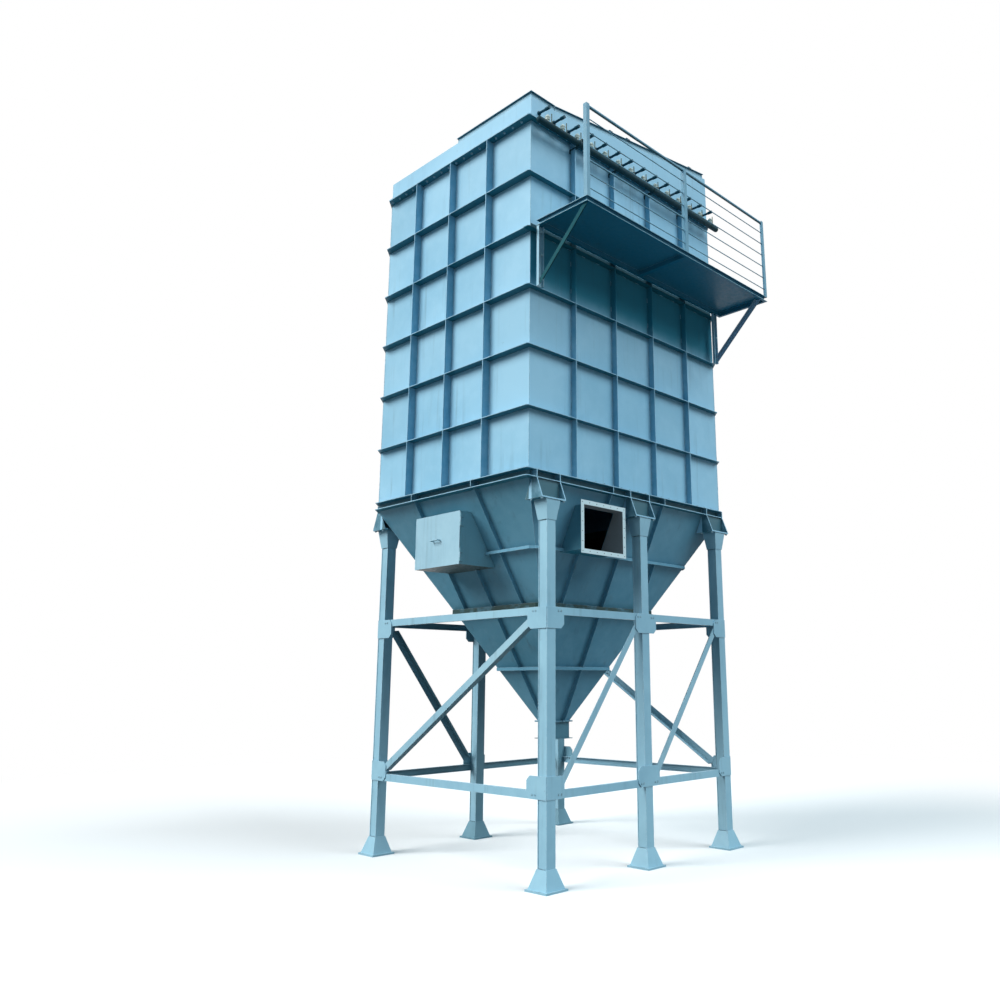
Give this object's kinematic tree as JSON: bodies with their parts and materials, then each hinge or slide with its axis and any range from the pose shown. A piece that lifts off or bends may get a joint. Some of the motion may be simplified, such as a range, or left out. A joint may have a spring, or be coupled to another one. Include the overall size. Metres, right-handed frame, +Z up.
{
  "type": "baghouse dust collector",
  "caption": "Pulse-jet bag filter: ribbed panel casing over a pyramid hopper on a braced leg frame, with side inlet, hinged access door, service platform and pulse-valve row.",
  "frame": {"origin": "middle of the plant's footprint at ground level", "axes": "+Z up; the front, with the inlet and platform, faces -Y; the access door faces -X"},
  "size_m": [3.71, 3.8033, 9.153],
  "materials": {
    "casing_paint": "satin, weathered",
    "frame_paint": "satin, weathered",
    "door_paint": "satin",
    "inlet_paint": "satin",
    "deck_paint": "matt, worn",
    "header_paint": "matt"
  },
  "bodies": {
    "collector": {"front_wall": "casing_paint", "back_wall": "casing_paint", "left_wall": "casing_paint", "right_wall": "casing_paint", "plenum": "casing_paint", "clean_air_outlet": "casing_paint", "roof_lid_flat": "casing_paint", "roof_lid_front": "casing_paint", "roof_lid_back": "casing_paint", "base_ring": "casing_paint", "hopper_front": "casing_paint", "hopper_back": "casing_paint", "hopper_left": "casing_paint", "hopper_right": "casing_paint", "hopper_outlet": "casing_paint", "inlet_duct": "inlet_paint", "access_box": "casing_paint", "leg_front_left": "frame_paint", "leg_front_middle": "frame_paint", "leg_front_right": "frame_paint", "leg_back_left": "frame_paint", "leg_back_middle": "frame_paint", "leg_back_right": "frame_paint", "upper_beam_front_left": "frame_paint", "upper_beam_front_right": "frame_paint", "upper_beam_back_left": "frame_paint", "upper_beam_back_right": "frame_paint", "upper_beam_left": "frame_paint", "upper_beam_right": "frame_paint", "lower_beam_front_left": "frame_paint", "lower_beam_front_right": "frame_paint", "lower_beam_back_left": "frame_paint", "lower_beam_back_right": "frame_paint", "lower_beam_left": "frame_paint", "lower_beam_right": "frame_paint", "brace_front_left": "frame_paint", "brace_front_right": "frame_paint", "brace_back_left": "frame_paint", "brace_left": "frame_paint", "brace_right": "frame_paint", "platform_deck": "deck_paint", "wall_post_left": "casing_paint", "wall_post_right": "casing_paint", "platform_strut_left": "casing_paint", "platform_strut_right": "casing_paint", "guard_rail": "casing_paint", "air_header": "header_paint"},
    "door": {"access_door": "door_paint"}
  },
  "joints": [
    {"name": "access_door_hinge", "type": "hinge", "parent": "collector", "child": "door", "pos_m": [-1.776, 0.03265, 3.5525], "axis": [0, 0, 1], "range_deg": [0, 110]}
  ]
}
